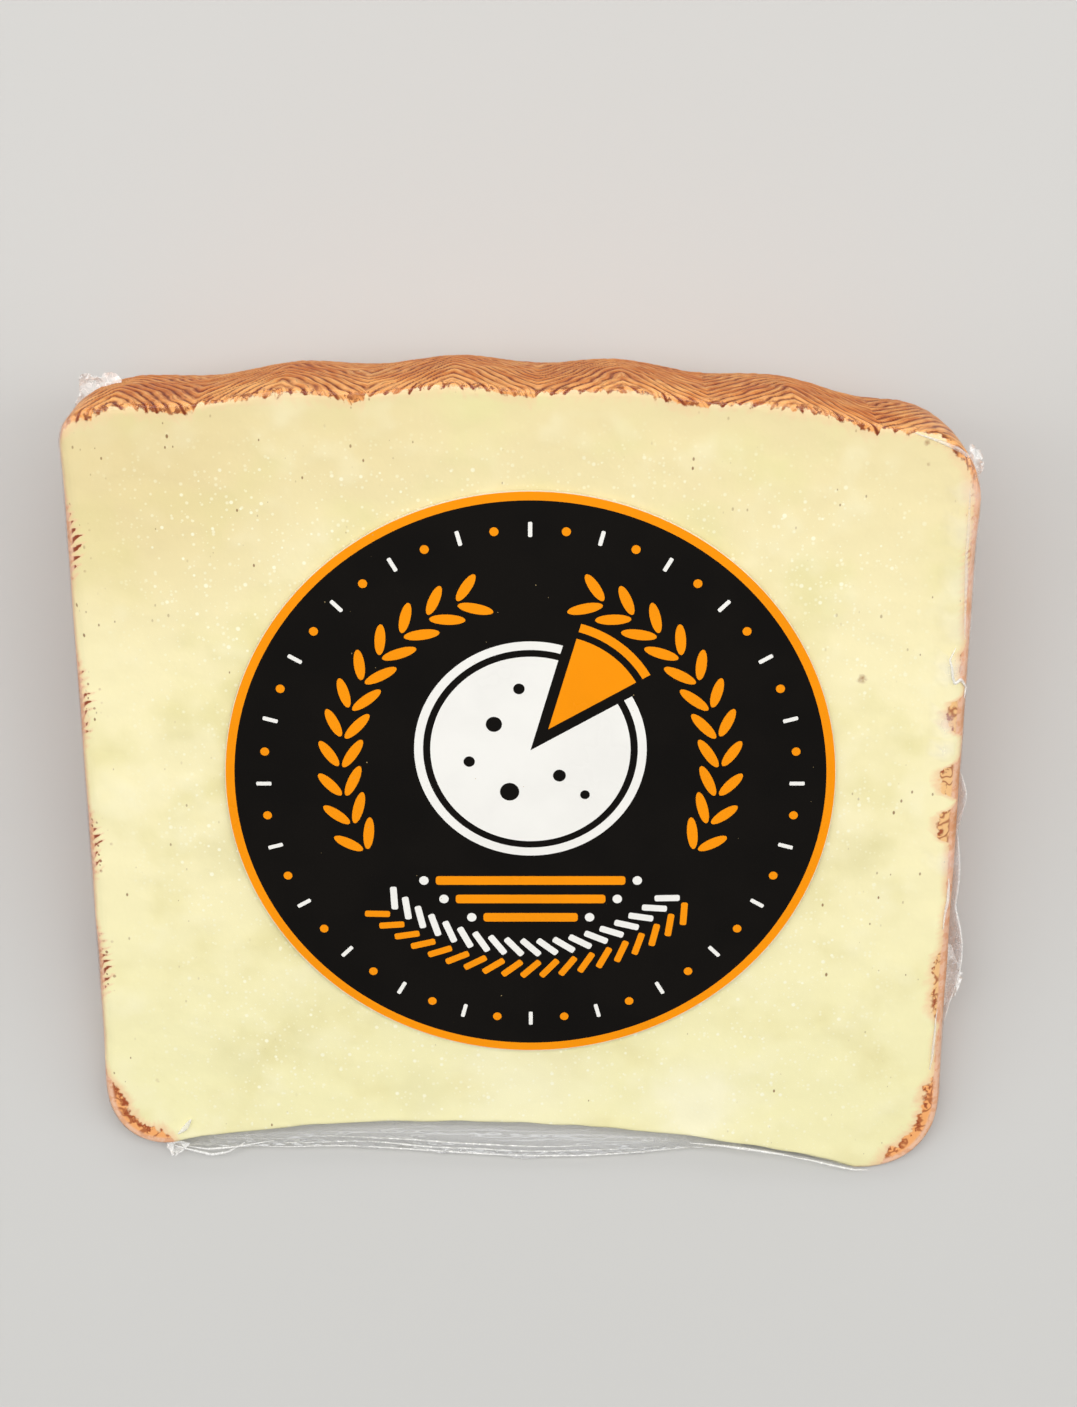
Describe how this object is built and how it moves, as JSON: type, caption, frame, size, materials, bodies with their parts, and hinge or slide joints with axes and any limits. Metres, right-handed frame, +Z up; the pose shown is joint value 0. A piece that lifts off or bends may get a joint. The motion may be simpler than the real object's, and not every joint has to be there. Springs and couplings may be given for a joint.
{
  "type": "manchego cheese wedge",
  "caption": "Wedge of aged sheep's milk cheese in clear shrink film, lying on a cut face, with a plaited rind along its thick end and a plain round label.",
  "frame": {"origin": "on the resting plane, under the centre of the bounding box", "axes": "+X along the axis of the wheel that the wedge was cut from, +Y from the thin tip to the rind, +Z up"},
  "size_m": [0.115, 0.1074, 0.0411],
  "materials": {
    "cheese": "pale cream cheese paste and brown rind under glossy clear film",
    "label": "glossy black print with an orange rim",
    "film": "thin clear shrink film, glossy, with creases"
  },
  "bodies": {
    "root": {"wrapped_cheese": "cheese", "label": "label"}
  },
  "joints": []
}
